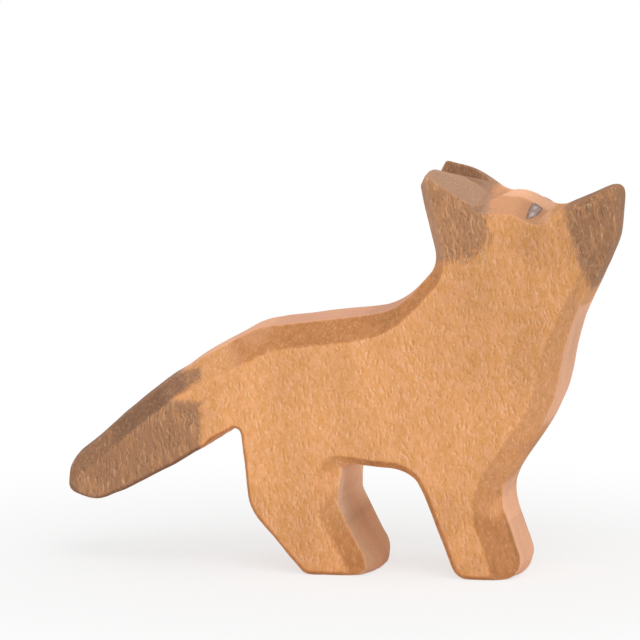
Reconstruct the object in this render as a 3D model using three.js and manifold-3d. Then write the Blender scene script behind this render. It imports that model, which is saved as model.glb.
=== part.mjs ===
// A small carved wooden dog that looks up, cut from one board and bevelled with a knife all round.
// Millimetres. +X is the way the dog faces, +Z is up, and the board's middle plane is y = 0,
// so the dog's right side is -Y. The origin is on the ground under the middle of the outline.
import * as THREE from "three";
import { mergeVertices } from "three/addons/utils/BufferGeometryUtils.js";
import Module from "manifold-3d";

const wasm = await Module();
wasm.setup();

// Board
const BOARD = 22; // thickness
const SEAM = 0.3; // gap between two neighbouring sections

// Legs, measured forward from the rump and up from the ground
const HEEL_SETBACK = 9.2; // rump to the hind heel
const HIND_SOLE = 10.4;
const FEET_GAP = 12.2; // hind toe to front heel
const FRONT_SOLE = 9.8;
const LEG_HEIGHT = 16.8; // ground to the top of the arch under the belly
const ARCH_FALL = 1.2; // how much lower the arch is at the front legs
const HIND_LEAN = 5; // hind toe ahead of the back of the arch
const FRONT_LEAN = 6.1; // front heel ahead of the front of the arch
const SHIN_DROP = 5.5; // arch down to the bend in the front of the hind legs
const SHIN_HOLLOW = 1; // depth of that bend
const HOCK_HEIGHT = 9.6; // ground to the bend in the back of the hind legs
const HOCK_INSET = 0.9; // hock ahead of the rump
const KNEE_DROP = 4.5; // arch down to the bend between the front legs and the chest
const KNEE_SETBACK = 4.3; // front toe ahead of that bend
const LEG_SEAM_DROP = 3.2; // leg seam below the top of the arch

// Trunk
const TRUNK_DEPTH = 20.7; // arch to the back
const CROUP_SETBACK = 1.9; // rump to the croup
const CROUP_FALL = 1.2; // croup lower than the back
const WITHERS_SETBACK = 22.3; // rump to the foot of the neck
const WITHERS_RISE = 1.4; // foot of the neck higher than the back
const CHEST_REACH = 45.5; // rump to the front of the chest
const CHEST_RISE = 7.7; // arch to the fullest part of the chest
const RUMP_RISE = 4.7; // arch to the hollow under the tail
const RUMP_HOLLOW = 0.4; // that hollow behind the rump line

// Neck and head, up from the back and forward from the back of the head
const NAPE_SETBACK = 28.9; // rump to the nape
const NAPE_RISE = 8.7; // back to the nape
const NECK_WIDTH = 18.6; // nape to throat, along x
const THROAT_FALL = 10.1; // throat below the nape
const SKULL_HEIGHT = 9.8; // nape to the brow
const SKULL_LENGTH = 11.5; // nape to the brow, along x
const EAR_RISE = 5; // ear tip above the brow
const EAR_RAKE = 3.5; // ear tip behind the nape
const EAR_BEND_SETBACK = 3.5; // nape to the bend in the ear's top edge
const EAR_BEND_FALL = 1.6; // that bend below the ear tip
const EAR_BASE_SETBACK = 8.3; // nape to the foot of the ear's top edge
const EAR_LENGTH = 9.3; // ear tip to ear seam, down the back of the head
const EAR_NOTCH_TOP = 9.6; // width of the notch between the ears at the tips
const EAR_NOTCH_FLOOR = 1.4;
const STOP_REACH = 16.3; // nape to the hollow in front of the eyes
const STOP_FALL = 2.3; // that hollow below the brow
const MUZZLE_LENGTH = 9.5; // stop to nose
const MUZZLE_RISE = 4.5; // nose above the stop
const CHIN_DEPTH = 10.2; // nose down to the chin
const CHIN_SETBACK = 1.2; // nose ahead of the chin
const JAW_LENGTH = 8.6; // chin to muzzle seam, along the throat
const NOSE_WIDTH = 6; // thickness left at the nose

// Tail
const TAIL_SEAM = 1.1; // hollow under the tail to the tail seam
const TAIL_CREST = 7.2; // rump to the bend on top of the tail
const TAIL_CREST_FALL = 5.7; // that bend below the back
const TAIL_REACH = 27.9; // rump to the upper corner of the tail tip
const TAIL_DROP = 16.6; // from the bend down to that corner
const TAIL_TIP = 4.7; // length of the cut across the tip
const TAIL_TIP_TILT = 95; // degrees from level of that cut
const TAIL_HEEL = 5.1; // length of the cut under the tip
const TAIL_HEEL_TILT = 18; // degrees from level of that cut
const TAIL_WIDTH = 11; // thickness left at the tip

// Painted eyes
const EYE_LENGTH = 3.6;
const EYE_HEIGHT = 1.7;
const EYE_THICKNESS = 0.4;
const EYE_LIFT = 0.05; // eye above the wood
const EYE_SLANT = 70; // degrees
const EYE_SETBACK = 2.4; // stop to the eye, along the brow

// Knife bevels: inset is measured across the board's face and depth through its thickness. Crown is
// how far the edge between two bevels swells out at the board's middle.
const BEVEL = {
  sole: { inset: 0.6, depth: 0.6, crown: 0 },
  heel: { inset: 0.6, depth: 0.6, crown: 0 },
  thigh: { inset: 0.5, depth: 0.5, crown: 0 },
  hindShin: { inset: 3, depth: 1.2, crown: 0 },
  belly: { inset: 1.1, depth: 1.1, crown: 0 },
  frontShank: { inset: 0.8, depth: 0.8, crown: 0 },
  frontShin: { inset: 4, depth: 4.6, crown: 0 },
  chest: { inset: 3.2, depth: 3, crown: 0.3 },
  throat: { inset: 2.2, depth: 2.6, crown: 0.3 },
  muzzle: { inset: 0.9, depth: 1.4, crown: 0.3 },
  brow: { inset: 2.3, depth: 5.6, crown: 0.6 },
  ear: { inset: 3.4, depth: 6.2, crown: 0.2 },
  nape: { inset: 1.2, depth: 1.2, crown: 0 },
  neck: { inset: 2, depth: 2.4, crown: 0.5 },
  back: { inset: 3.5, depth: 3.2, crown: 0.5 },
  croup: { inset: 4, depth: 3.2, crown: 0.5 },
  tailTop: { inset: 2.5, depth: 3.4, crown: 0.5 },
  tailEnd: { inset: 1.6, depth: 3, crown: 0.5 },
  tailUnder: { inset: 0.5, depth: 0.8, crown: 0 },
};
const ROUND_STEPS = 8; // straight pieces in each rounded corner
const LARGEST_SHARE = 0.42; // share of a side that one rounded or bevelled corner may take
const REACH = 400; // size of a saw cutter, larger than the dog

const half = BOARD / 2;
const bareWood = new THREE.MeshStandardMaterial({ color: 0xe3a570, roughness: 0.7, metalness: 0 });
const stainedWood = new THREE.MeshStandardMaterial({ color: 0xa3785c, roughness: 0.75, metalness: 0 });
const eyePaint = new THREE.MeshStandardMaterial({ color: 0x4d4648, roughness: 0.6, metalness: 0 });

const point = (x, z) => new THREE.Vector2(x, z);

// The point that lies a length from one point on the way to another.
function along(from, to, length) {
  return to.clone().sub(from).setLength(length).add(from);
}

// The point at a length from another, at an angle in degrees down from level.
function downFrom(from, length, tilt) {
  const angle = THREE.MathUtils.degToRad(tilt);
  return point(from.x + length * Math.cos(angle), from.y - length * Math.sin(angle));
}

// Landmarks of the side outline, as x and z
function landmarks() {
  const back = LEG_HEIGHT + TRUNK_DEPTH;
  const hindToe = point(HEEL_SETBACK + HIND_SOLE, 0);
  const frontHeel = point(hindToe.x + FEET_GAP, 0);
  const frontToe = point(frontHeel.x + FRONT_SOLE, 0);
  const archBack = point(hindToe.x - HIND_LEAN, LEG_HEIGHT);
  const nape = point(NAPE_SETBACK, back + NAPE_RISE);
  const brow = point(nape.x + SKULL_LENGTH, nape.y + SKULL_HEIGHT);
  const earTip = point(nape.x - EAR_RAKE, brow.y + EAR_RISE);
  const stop = point(nape.x + STOP_REACH, brow.y - STOP_FALL);
  const nose = point(stop.x + MUZZLE_LENGTH, stop.y + MUZZLE_RISE);
  const tailCrest = point(-TAIL_CREST, back - TAIL_CREST_FALL);
  const tailUpper = point(-TAIL_REACH, tailCrest.y - TAIL_DROP);
  const tailTip = downFrom(tailUpper, TAIL_TIP, TAIL_TIP_TILT);
  return {
    heel: point(HEEL_SETBACK, 0),
    hindToe,
    hindShin: point(archBack.x - SHIN_HOLLOW, LEG_HEIGHT - SHIN_DROP),
    archBack,
    archFront: point(frontHeel.x - FRONT_LEAN, LEG_HEIGHT - ARCH_FALL),
    frontHeel,
    frontToe,
    knee: point(frontToe.x - KNEE_SETBACK, LEG_HEIGHT - KNEE_DROP),
    chest: point(CHEST_REACH, LEG_HEIGHT + CHEST_RISE),
    throat: point(nape.x + NECK_WIDTH, nape.y - THROAT_FALL),
    chin: point(nose.x - CHIN_SETBACK, nose.y - CHIN_DEPTH),
    nose,
    stop,
    brow,
    earBase: point(nape.x + EAR_BASE_SETBACK, brow.y),
    earBend: point(nape.x + EAR_BEND_SETBACK, earTip.y - EAR_BEND_FALL),
    earTip,
    nape,
    withers: point(WITHERS_SETBACK, back + WITHERS_RISE),
    croup: point(CROUP_SETBACK, back - CROUP_FALL),
    tailCrest,
    tailUpper,
    tailTip,
    tailLower: downFrom(tailTip, TAIL_HEEL, TAIL_HEEL_TILT),
    rump: point(-RUMP_HOLLOW, LEG_HEIGHT + RUMP_RISE),
    hock: point(HOCK_INSET, HOCK_HEIGHT),
  };
}

// The outline's corners in order, counter-clockwise seen from the right side. Round is the length
// of each side that the rounded corner takes up, and bevel belongs to the edge that follows.
function outlineCorners(at) {
  return [
    { at: at.heel, round: 0.9, bevel: BEVEL.sole },
    { at: at.hindToe, round: 3.6, bevel: BEVEL.hindShin },
    { at: at.hindShin, round: 2.2, bevel: BEVEL.hindShin },
    { at: at.archBack, round: 2.4, bevel: BEVEL.belly },
    { at: at.archFront, round: 3.8, bevel: BEVEL.frontShank },
    { at: at.frontHeel, round: 1.9, bevel: BEVEL.sole },
    { at: at.frontToe, round: 3.4, bevel: BEVEL.frontShin },
    { at: at.knee, round: 3.6, bevel: BEVEL.chest },
    { at: at.chest, round: 6, bevel: BEVEL.chest },
    { at: at.throat, round: 4, bevel: BEVEL.throat },
    { at: at.chin, round: 2.8, bevel: BEVEL.muzzle },
    { at: at.nose, round: 2.9, bevel: BEVEL.muzzle },
    { at: at.stop, round: 1.4, bevel: BEVEL.brow },
    { at: at.brow, round: 0.8, bevel: BEVEL.brow },
    { at: at.earBase, round: 1.8, bevel: BEVEL.ear },
    { at: at.earBend, round: 2.9, bevel: BEVEL.ear },
    { at: at.earTip, round: 3.2, bevel: BEVEL.nape },
    { at: at.nape, round: 2.3, bevel: BEVEL.neck },
    { at: at.withers, round: 8, bevel: BEVEL.back },
    { at: at.croup, round: 1.7, bevel: BEVEL.croup },
    { at: at.tailCrest, round: 4.5, bevel: BEVEL.tailTop },
    { at: at.tailUpper, round: 2.9, bevel: BEVEL.tailEnd },
    { at: at.tailTip, round: 2.5, bevel: BEVEL.tailUnder },
    { at: at.tailLower, round: 2.5, bevel: BEVEL.tailUnder },
    { at: at.rump, round: 1.3, bevel: BEVEL.thigh },
    { at: at.hock, round: 2.6, bevel: BEVEL.heel },
  ];
}

// Unit direction of an edge, and the normal that points into the material.
function edge(from, to) {
  const direction = to.clone().sub(from).normalize();
  return { direction, inward: point(-direction.y, direction.x) };
}

// How far the outline turns at a corner, in radians. A turn to the left is positive.
function turnAt(before, after) {
  return Math.atan2(before.direction.cross(after.direction), before.direction.dot(after.direction));
}

// The point at one distance inside the edge before a corner and another inside the edge after it.
// Where the two edges are almost in line that point runs far along them, so its slide has a limit.
function insetCorner(corner, before, after, insetBefore, insetAfter, largestSlide) {
  const halfTurn = turnAt(before, after) / 2;
  const forward = before.direction.clone().add(after.direction).normalize();
  const inward = before.inward.clone().add(after.inward).normalize();
  const depth = (insetBefore + insetAfter) / 2 / Math.cos(halfTurn);
  const difference = insetBefore - insetAfter;
  const exactSlide = difference === 0 ? 0 : difference / 2 / Math.sin(halfTurn);
  const slide = THREE.MathUtils.clamp(exactSlide, -largestSlide, largestSlide);
  return corner.clone().addScaledVector(inward, depth).addScaledVector(forward, slide);
}

// A closed ring of points through corners, each rounded by a quadratic curve. No curve takes up
// more than its share of the sides beside it.
function roundedRing(corners, rounds) {
  return corners.flatMap((corner, i) => {
    const last = corners.at(i - 1);
    const next = corners[(i + 1) % corners.length];
    const shortest = Math.min(corner.distanceTo(last), corner.distanceTo(next));
    const reach = Math.min(rounds[i], shortest * LARGEST_SHARE);
    const start = along(corner, last, reach);
    const end = along(corner, next, reach);
    return new THREE.QuadraticBezierCurve(start, corner, end).getPoints(ROUND_STEPS);
  });
}

// The rounded outline moved into the material by each edge's own inset, or out by a negative one.
function insetRing(corners, insetOf) {
  const insetCorners = [];
  const insetRounds = [];
  corners.forEach((corner, i) => {
    const last = corners.at(i - 1);
    const next = corners[(i + 1) % corners.length];
    const before = edge(last.at, corner.at);
    const after = edge(corner.at, next.at);
    const insets = [insetOf(last.bevel), insetOf(corner.bevel)];
    const shortest = Math.min(corner.at.distanceTo(last.at), corner.at.distanceTo(next.at));
    const round = corner.round - ((insets[0] + insets[1]) / 2) * Math.tan(turnAt(before, after) / 2);
    insetCorners.push(insetCorner(corner.at, before, after, ...insets, shortest * LARGEST_SHARE));
    insetRounds.push(Math.max(round, corner.round / 4));
  });
  return roundedRing(insetCorners, insetRounds);
}

// The bevel's depth at each point of a ring, which changes evenly round each corner.
function bevelDepths(corners) {
  const steps = [...Array(ROUND_STEPS + 1).keys()];
  return corners.flatMap((corner, i) => {
    const before = corners.at(i - 1).bevel.depth;
    const after = corner.bevel.depth;
    return steps.map((step) => THREE.MathUtils.lerp(before, after, step / ROUND_STEPS));
  });
}

// The whole dog as one closed mesh: two flat faces, two bands of bevel, and the edge between them
// with its crown in the middle.
function bevelledBoard(corners) {
  const face = insetRing(corners, (bevel) => bevel.inset);
  const rim = insetRing(corners, () => 0);
  const crest = insetRing(corners, (bevel) => -bevel.crown);
  const depths = bevelDepths(corners);
  const count = rim.length;
  const rings = [
    face.map((p) => [p.x, -half, p.y]),
    rim.map((p, i) => [p.x, depths[i] - half, p.y]),
    crest.map((p) => [p.x, 0, p.y]),
    rim.map((p, i) => [p.x, half - depths[i], p.y]),
    face.map((p) => [p.x, half, p.y]),
  ];
  const triangles = [];
  const farFace = (rings.length - 1) * count;
  for (const [a, b, c] of THREE.ShapeUtils.triangulateShape(face, [])) {
    triangles.push(a, b, c, farFace + a, farFace + c, farFace + b);
  }
  for (let ring = 0; ring < rings.length - 1; ring++) {
    for (let i = 0; i < count; i++) {
      const near = ring * count + i;
      const nearNext = ring * count + ((i + 1) % count);
      triangles.push(near, near + count, nearNext, nearNext, near + count, nearNext + count);
    }
  }
  const geometry = new THREE.BufferGeometry();
  geometry.setAttribute("position", new THREE.Float32BufferAttribute(rings.flat(2), 3));
  geometry.setIndex(triangles);
  return geometry;
}

// A closed geometry as a solid that can be cut, and back.
function solidOf(geometry) {
  const bare = geometry.clone();
  bare.deleteAttribute("normal");
  bare.deleteAttribute("uv");
  const merged = mergeVertices(bare, 1e-4);
  return new wasm.Manifold(
    new wasm.Mesh({
      numProp: 3,
      vertProperties: new Float32Array(merged.getAttribute("position").array),
      triVerts: new Uint32Array(merged.index.array),
    }),
  );
}

function geometryOf(solid) {
  const mesh = solid.getMesh();
  const geometry = new THREE.BufferGeometry();
  geometry.setAttribute("position", new THREE.BufferAttribute(new Float32Array(mesh.vertProperties), 3));
  geometry.setIndex(new THREE.BufferAttribute(new Uint32Array(mesh.triVerts), 1));
  return geometry;
}

// The parts of a solid on the left and on the right of a saw line seen from the right side, with the
// seam's gap between them.
function sawApart(solid, from, to) {
  const { direction, inward } = edge(from, to);
  const middle = from.clone().add(to).divideScalar(2);
  const sides = [inward, inward.clone().negate()];
  return sides.map((side) => {
    const centre = side.clone().multiplyScalar((REACH + SEAM) / 2).add(middle);
    const cutter = new THREE.BoxGeometry(REACH, REACH, REACH);
    cutter.rotateY(-direction.angle());
    cutter.translate(centre.x, 0, centre.y);
    return solid.intersect(solidOf(cutter));
  });
}

// Thins a section evenly from its seam to its far end, where the given thickness is left.
function taper(geometry, from, to, endThickness) {
  const { inward } = edge(from, to);
  const position = geometry.getAttribute("position");
  const distances = [];
  for (let i = 0; i < position.count; i++) {
    const fromSeam = point(position.getX(i), position.getZ(i)).sub(from);
    distances.push(Math.max(fromSeam.dot(inward), 0));
  }
  const farthest = Math.max(...distances);
  distances.forEach((distance, i) => {
    const share = 1 - (1 - endThickness / BOARD) * (distance / farthest);
    position.setY(i, position.getY(i) * share);
  });
  return geometry;
}

// The wedge between the ears. Its floor lies in the ear seam and its mouth opens above the ear tips.
function earNotch(from, to, tip) {
  const { direction, inward } = edge(from, to);
  const height = tip.clone().sub(from).dot(inward);
  const mouth = new THREE.Shape([
    point(-EAR_NOTCH_FLOOR / 2, 0),
    point(EAR_NOTCH_FLOOR / 2, 0),
    point(EAR_NOTCH_TOP - EAR_NOTCH_FLOOR / 2, 2 * height),
    point(EAR_NOTCH_FLOOR / 2 - EAR_NOTCH_TOP, 2 * height),
  ]);
  const length = 4 * from.distanceTo(to);
  const wedge = new THREE.ExtrudeGeometry(mouth, { depth: length, bevelEnabled: false });
  wedge.translate(0, 0, -length / 2);
  const frame = new THREE.Matrix4().makeBasis(
    new THREE.Vector3(0, 1, 0),
    new THREE.Vector3(inward.x, 0, inward.y),
    new THREE.Vector3(direction.x, 0, direction.y),
  );
  wedge.applyMatrix4(frame.setPosition(from.x, 0, from.y));
  return solidOf(wedge);
}

// The part of a solid on the dog's right (-1) or left (1).
function onSide(solid, side) {
  const cutter = new THREE.BoxGeometry(REACH, REACH, REACH);
  cutter.translate(0, (side * REACH) / 2, 0);
  return solid.intersect(solidOf(cutter));
}

function section(name, geometry, material) {
  const mesh = new THREE.Mesh(geometry, material.clone());
  mesh.name = name;
  return mesh;
}

// An eye on the slope between the stop and the brow, on the dog's right (-1) or left (1). It lies on
// the wood, so its underside has the wood's shape.
function eye(name, side, at, wood) {
  const shape = new THREE.Shape();
  shape.moveTo(-EYE_LENGTH / 2, 0);
  shape.quadraticCurveTo(0, -EYE_HEIGHT, EYE_LENGTH / 2, 0);
  shape.quadraticCurveTo(0, EYE_HEIGHT, -EYE_LENGTH / 2, 0);
  const dab = new THREE.ExtrudeGeometry(shape, {
    depth: 2 * EYE_THICKNESS,
    bevelEnabled: false,
    curveSegments: ROUND_STEPS,
  });
  dab.translate(0, 0, -EYE_THICKNESS);
  dab.rotateZ(THREE.MathUtils.degToRad(side * EYE_SLANT));
  const { direction, inward } = edge(at.stop, at.brow);
  const { inset, depth } = BEVEL.brow;
  const forward = new THREE.Vector3(-direction.x, 0, -direction.y);
  const across = new THREE.Vector3(inward.x * inset, side * depth, inward.y * inset);
  const outward = new THREE.Vector3().crossVectors(across, forward).multiplyScalar(-side).normalize();
  const upward = new THREE.Vector3().crossVectors(outward, forward);
  const rim = along(at.stop, at.brow, EYE_SETBACK);
  const centre = new THREE.Vector3(rim.x, side * (half - depth), rim.y).addScaledVector(across, 0.5);
  dab.applyMatrix4(new THREE.Matrix4().makeBasis(forward, upward, outward).setPosition(centre));
  const mesh = section(name, geometryOf(solidOf(dab).subtract(wood)), eyePaint);
  mesh.position.copy(outward).multiplyScalar(EYE_LIFT);
  return mesh;
}

const at = landmarks();
const earRoot = along(at.earTip, at.nape, EAR_LENGTH);
const jaw = along(at.chin, at.throat, JAW_LENGTH);
const tailFoot = point(at.rump.x - TAIL_SEAM, at.rump.y);
const tailHead = point(tailFoot.x, at.croup.y);
const legSeam = LEG_HEIGHT - LEG_SEAM_DROP;
const archMiddle = (at.archBack.x + at.archFront.x) / 2;

const boardGeometry = bevelledBoard(outlineCorners(at));
const board = solidOf(boardGeometry);
const [tail, body] = sawApart(board, tailFoot, tailHead);
const [legs, upperBody] = sawApart(body, point(at.frontToe.x, legSeam), point(0, legSeam));
const [hindLegs, frontLegs] = sawApart(legs, point(archMiddle, 0), point(archMiddle, legSeam));
const [muzzle, lessMuzzle] = sawApart(upperBody, at.stop, jaw);
const [headAndEars, torso] = sawApart(lessMuzzle, at.nape, at.throat);
const [earPair, head] = sawApart(headAndEars, earRoot, at.earBase);
const ears = earPair.subtract(earNotch(earRoot, at.earBase, at.earTip));

const headGroup = new THREE.Group();
headGroup.name = "head_group";
headGroup.add(
  section("head", geometryOf(head), bareWood),
  section("muzzle", taper(geometryOf(muzzle), at.stop, jaw, NOSE_WIDTH), stainedWood),
  section("right_ear", geometryOf(onSide(ears, -1)), stainedWood),
  section("left_ear", geometryOf(onSide(ears, 1)), stainedWood),
  eye("right_eye", -1, at, head),
  eye("left_eye", 1, at, head),
);

const dog = new THREE.Group();
dog.name = "dog_figurine";
dog.add(
  section("torso", geometryOf(torso), bareWood),
  section("hind_legs", geometryOf(hindLegs), bareWood),
  section("front_legs", geometryOf(frontLegs), bareWood),
  section("tail", taper(geometryOf(tail), tailFoot, tailHead, TAIL_WIDTH), stainedWood),
  headGroup,
);
boardGeometry.computeBoundingBox();
dog.position.x = -boardGeometry.boundingBox.getCenter(new THREE.Vector3()).x;

export default dog;
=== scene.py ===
import math

import bmesh
import bpy
import numpy as np
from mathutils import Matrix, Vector, noise
from mathutils.bvhtree import BVHTree


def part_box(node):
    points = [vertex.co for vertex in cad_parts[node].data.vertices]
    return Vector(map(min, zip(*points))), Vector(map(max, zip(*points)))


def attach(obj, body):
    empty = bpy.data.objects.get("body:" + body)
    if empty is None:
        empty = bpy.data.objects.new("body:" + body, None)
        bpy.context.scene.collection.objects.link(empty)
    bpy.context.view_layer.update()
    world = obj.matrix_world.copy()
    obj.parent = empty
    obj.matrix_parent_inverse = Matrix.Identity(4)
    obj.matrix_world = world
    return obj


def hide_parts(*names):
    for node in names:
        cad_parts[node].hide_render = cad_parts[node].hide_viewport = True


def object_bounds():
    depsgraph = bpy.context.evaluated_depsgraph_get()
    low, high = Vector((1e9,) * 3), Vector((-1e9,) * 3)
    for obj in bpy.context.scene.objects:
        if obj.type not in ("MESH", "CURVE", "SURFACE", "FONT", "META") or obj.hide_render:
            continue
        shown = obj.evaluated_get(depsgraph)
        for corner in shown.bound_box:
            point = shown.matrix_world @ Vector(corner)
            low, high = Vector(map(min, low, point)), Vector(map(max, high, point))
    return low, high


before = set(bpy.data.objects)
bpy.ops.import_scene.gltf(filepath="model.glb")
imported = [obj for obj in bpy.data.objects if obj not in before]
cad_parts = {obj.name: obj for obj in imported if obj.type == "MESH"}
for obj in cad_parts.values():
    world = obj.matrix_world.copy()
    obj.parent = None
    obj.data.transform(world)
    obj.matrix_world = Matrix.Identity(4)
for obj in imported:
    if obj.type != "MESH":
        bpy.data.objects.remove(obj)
cad_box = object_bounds()

MM = 0.001

# The wooden sections of the CAD, each with the name of a material slot, which this script does not use.
# The pieces made here meet without its seams.
WOOD_SLOTS = {
    "torso": "bare_wood",
    "hind_legs": "bare_wood",
    "front_legs": "bare_wood",
    "head": "bare_wood",
    "muzzle": "stained_wood",
    "right_ear": "stained_wood",
    "left_ear": "stained_wood",
    "tail": "stained_wood",
}
EYES = {"right_eye": -1, "left_eye": 1}  # the side of each, along y

# Carved surface, in millimetres
VOXEL = 0.25
SWELL = 0.25  # how far the sections are swollen to close their seams
SHARPEST = 2.0  # largest stretch of the swelling at a sharp corner
SEAM_REACH = 0.4  # points this near to a neighbour lie on a seam
SEAM_FACING = 0.98  # a face turned this far along a seam's normal is cut by it
SOFTENING = 3  # smoothing passes over the remeshed edges
CREASE_REACH = 1.6  # how far the crease at the root of the muzzle is rubbed down
CREASE_SOFTENING = 14
WOBBLE = 0.09  # how far a hand-cut line strays
WOBBLE_LENGTH = 7.0
WOBBLE_SEED = 3
CHATTER = 0.06  # depth of the knife's uneven strokes
CHATTER_LENGTH = 3.2
SOLE_FADE = 2.5  # height over which the uneven cutting fades out towards the soles
SAW_TOLERANCE = 1e-5  # points this near to a cut lie on it
WELD = 1e-3  # corners this near to each other are one

# Places where the blade left its line: x, z, reach, and how far it strayed in x and in z
STRAYS = (
    (-19.6, 32.2, 8.0, 0.08, -0.22),  # top of the tail's root
    (-29.5, 25.2, 9.0, -0.07, 0.13),  # top of the tail
    (-39.8, 16.5, 6.5, 0.12, -0.17),  # top of its tip
    (-36.5, 8.8, 6.0, 0.0, 0.26),  # underside of its tip
    (-42.0, 12.0, 4.5, -0.2, 0.0),  # end of its tip
    (-28.2, 13.4, 9.0, 0.08, -0.2),  # underside of the tail
    (-16.2, 20.2, 3.5, 0.0, 0.45),  # underside of its root
    (41.7, 54.5, 8.0, 0.3, 0.0),  # nose
    (27.5, 6.0, 7.0, 0.15, 0.0),  # front toes
    (1.3, 13.3, 3.0, 0.25, -0.15),  # rear corner of the arch
    (11.2, 15.4, 3.5, 0.1, 0.1),  # front corner of the arch
    (33.8, 31.6, 8.0, 0.15, 0.0),  # chest
)

# The right ear is carved afresh from a block. Cuts that only one ear has, each along a line of two
# points as x and z on its side face, and how far the cut leans over towards the dog's middle. The
# wood on the left of the way from the first point to the second is cut away.
BLOCKS = ("right_ear",)
EAR_CUTS = {
    "right_ear": (
        (((14.9, 59.6), (21.8, 57.85)), 0),
        (((13.35, 58.1), (14.15, 59.5)), 0),
        (((14.4, 58.9), (22.7, 54.0)), math.radians(18)),
        (((17.1, 46.6), (13.6, 61.2)), math.radians(45)),
    ),
    "left_ear": ((((13.65, 58.2), (14.85, 60.8)), 0),),
}

# Rounded toes, each at some levels: z, x of the toe, how far the right and the left corner are cut back,
# and the width to the right and to the left of the middle. TOES says at which x a toe starts on the
# sole, how suddenly its corners are cut back, and its levels.
HIND_TOE = (
    (0.0, 6.4, 1.9, 1.9, 10.0, 10.0),
    (1.3, 6.3, 0.9, 0.9, 9.8, 9.8),
    (3.2, 4.95, 0.0, 0.0, 9.7, 9.7),
)
FRONT_TOE = (
    (0.0, 27.75, 3.3, 2.0, 10.0, 10.0),
    (1.5, 27.95, 2.3, 0.9, 8.5, 9.2),
    (3.2, 27.5, 0.0, 0.5, 6.4, 9.0),
    (10.5, 24.9, 0.0, 0.5, 6.4, 8.6),
)
TOES = ((2.0, 2.5, HIND_TOE), (22.5, 3.2, FRONT_TOE))
TOE_STEPS = 13

# Places rubbed smooth by hand: x, z and reach in millimetres
RUBBED = ((6.0, 3.2, 6.0), (27.5, 2.0, 5.5), (14.6, 59.6, 3.0), (-40.5, 11.5, 6.5))
RUBBED_SOFTENING = 18

NOTCH_HALF = 4.6  # half the width of the notch between the ears, at their tips
NOTCH_END = (19.5, 23.0)  # x over which the notch runs out into the forehead

# How far a face turns to the side, as its normal's share along the board's thickness
SIDE_FACING = 0.96
EDGE_FACING = 0.25
BRUSHED_OVER = ("muzzle",)  # sections whose faces all look like the side, under their stain
KIND_SOFTENING = 4
RIDGE_REACH = 4  # smoothing passes that a ridge is compared with
RIDGE_HEIGHT = 0.03  # height above its surroundings at which a ridge gets its full wear and painted highlight

# Places where the knife cuts came out light, and where the board's edge gets painted light: x, z, reach in
# millimetres, how light the bevel is there, and how much painted light the board's edge gets
LIGHT_CUTS = (
    (27.5, 54.8, 8.0, 1.0, 1.0),  # brow
    (33.5, 52.5, 5.0, 1.0, 1.0),  # bridge of the nose
    (18.0, 57.5, 7.0, 1.0, 1.0),  # top of the ears
    (14.5, 51.0, 7.0, 0.8, 0.8),  # back of the ears
    (33.5, 38.0, 9.0, 0.75, 0.75),  # throat
    (32.0, 28.0, 9.0, 0.75, 0.75),  # chest
    (26.5, 16.5, 6.5, 0.5, 0.35),  # top of the front legs
    (29.5, 6.5, 8.0, 0.1, 1.0),  # front of the front legs
    (26.0, 12.0, 4.0, 0.1, 0.9),  # front of their knees
    (-17.0, 30.5, 5.0, 0.6, 0.7),  # root of the tail
    (-11.8, 36.3, 3.5, 0.5, 0.3),  # rump
    (0.8, 12.5, 5.5, 0.3, 0.85),  # hind knees, with painted light on the edge
)

# Places inside the arch where the board's edge gets painted shade and painted light: x, z and reach in
# millimetres
ARCH_SHADE_PLACES = ((3.0, 6.5, 9.0), (0.8, 13.0, 4.0))
ARCH_LIGHT_TURN = (-6.0, 4.0)  # y over which that edge gets more painted light, towards the dog's left
# how much painted light that edge gets at the dog's left
ARCH_PAINTED_LIGHT_GAIN = 0.33

# Places where a bevel is worn and looks like the side: x, z, reach in millimetres, and how far
WORN_CUTS = (
    (-0.5, 13.0, 8.0, 0.65),  # hind knees
    (24.5, 16.5, 6.0, 0.65),  # top of the front legs
    (23.4, 12.3, 4.5, 0.6),  # front knees
    (35.0, 42.0, 7.0, 0.4),  # throat
    (32.5, 34.0, 9.0, 0.45),  # chest
    (29.5, 25.0, 8.0, 0.45),
    (33.2, 38.5, 3.4, 0.75),  # inner line of the chest's bevel, going down
    (31.9, 34.5, 3.4, 0.75),
    (30.5, 30.5, 3.4, 0.75),
    (29.2, 26.5, 3.4, 0.75),
    (27.8, 22.5, 3.4, 0.75),
    (-18.5, 30.0, 5.5, 0.8),  # root of the tail
    (-37.5, 16.2, 7.5, 0.45),  # tip of the tail
)

# Places where a bevel is cut across the whole of the board's edge: x, z and reach in millimetres
CUT_EDGES = ((29.3, 20.3, 4.0), (27.6, 16.8, 4.5))

# The ridge in front of the front legs has one more narrow cut, which the shape leaves out and which is
# painted as shade: x, z, reach in millimetres, and the change
RIDGE_CUT_SHADE = (27.0, 5.5, 8.0, -0.3)
RIDGE_CUT_SOFTENING = 50  # smoothing passes from the board's edge over the bevel beside it
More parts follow.
